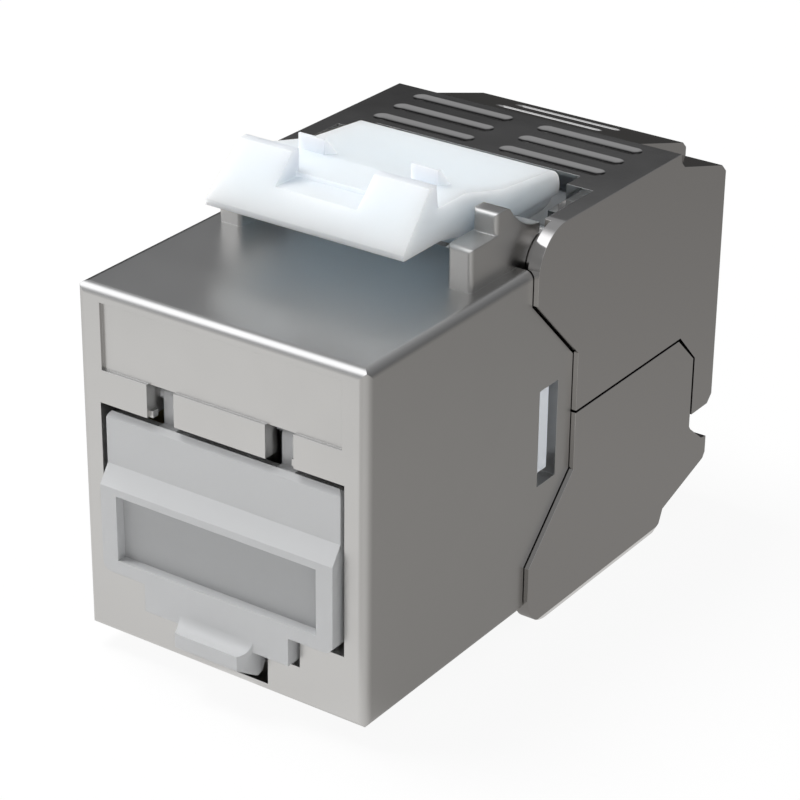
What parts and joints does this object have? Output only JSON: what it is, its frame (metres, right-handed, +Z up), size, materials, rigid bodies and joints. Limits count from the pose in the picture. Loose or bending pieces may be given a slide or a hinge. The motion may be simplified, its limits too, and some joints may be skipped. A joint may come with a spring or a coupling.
{
  "type": "keystone jack",
  "caption": "Shielded snap-in network socket with a flip-up dust cover, a spring latch for the panel, and two hinged rear doors that press the wires of a cable onto slotted contacts.",
  "frame": {"origin": "middle of the front face's lower edge, where the jack meets the front of its panel", "axes": "+X to the right across the port seen from the front, +Y from the front face to the rear, +Z up"},
  "size_m": [0.015, 0.0286, 0.0214],
  "materials": {
    "zinc_casting": "nickel-plated zinc die casting",
    "grey_plastic": "fine satin moulding",
    "white_plastic": "satin moulding",
    "natural_plastic": "satin moulding",
    "board": "glass-fibre board, green mask",
    "spring_sheet": "tinned spring bronze sheet",
    "gold_contact": "gold-plated spring bronze",
    "tin_contact": "tin-plated bronze"
  },
  "bodies": {
    "front": {"front_housing": "zinc_casting", "contact_carrier": "white_plastic", "circuit_board": "board", "terminal_block": "natural_plastic", "port_spring_left": "spring_sheet", "port_spring_right": "spring_sheet", "port_contact_1": "gold_contact", "port_contact_2": "gold_contact", "port_contact_3": "gold_contact", "port_contact_4": "gold_contact", "port_contact_5": "gold_contact", "port_contact_6": "gold_contact", "port_contact_7": "gold_contact", "port_contact_8": "gold_contact", "idc_contact_1": "tin_contact", "idc_contact_2": "tin_contact", "idc_contact_3": "tin_contact", "idc_contact_4": "tin_contact", "idc_contact_5": "tin_contact", "idc_contact_6": "tin_contact", "idc_contact_7": "tin_contact", "idc_contact_8": "tin_contact"},
    "cover": {"dust_cover": "grey_plastic"},
    "latch": {"latch_clip": "white_plastic"},
    "upper_rear": {"upper_door": "zinc_casting", "upper_wire_guide": "natural_plastic"},
    "lower_rear": {"lower_door": "zinc_casting", "lower_wire_guide": "natural_plastic"}
  },
  "joints": [
    {"name": "dust_cover_hinge", "type": "hinge", "parent": "front", "child": "cover", "pos_m": [0, 0.0012, 0.0117], "axis": [-1, 0, 0], "range_deg": [0, 92]},
    {"name": "latch_flex", "type": "hinge", "parent": "front", "child": "latch", "pos_m": [0, 0.0116, 0.017], "axis": [1, 0, 0], "range_deg": [0, 15], "stiffness_Nm_per_rad": 0.02},
    {"name": "upper_door_hinge", "type": "hinge", "parent": "front", "child": "upper_rear", "pos_m": [0, 0.0137, 0.01572], "axis": [1, 0, 0], "range_deg": [0, 90]},
    {"name": "lower_door_hinge", "type": "hinge", "parent": "front", "child": "lower_rear", "pos_m": [0, 0.01325, 0.0006], "axis": [-1, 0, 0], "range_deg": [0, 90]}
  ],
  "couplings": [
    {"joint": "lower_door_hinge", "follows": "upper_door_hinge", "ratio": 1}
  ]
}
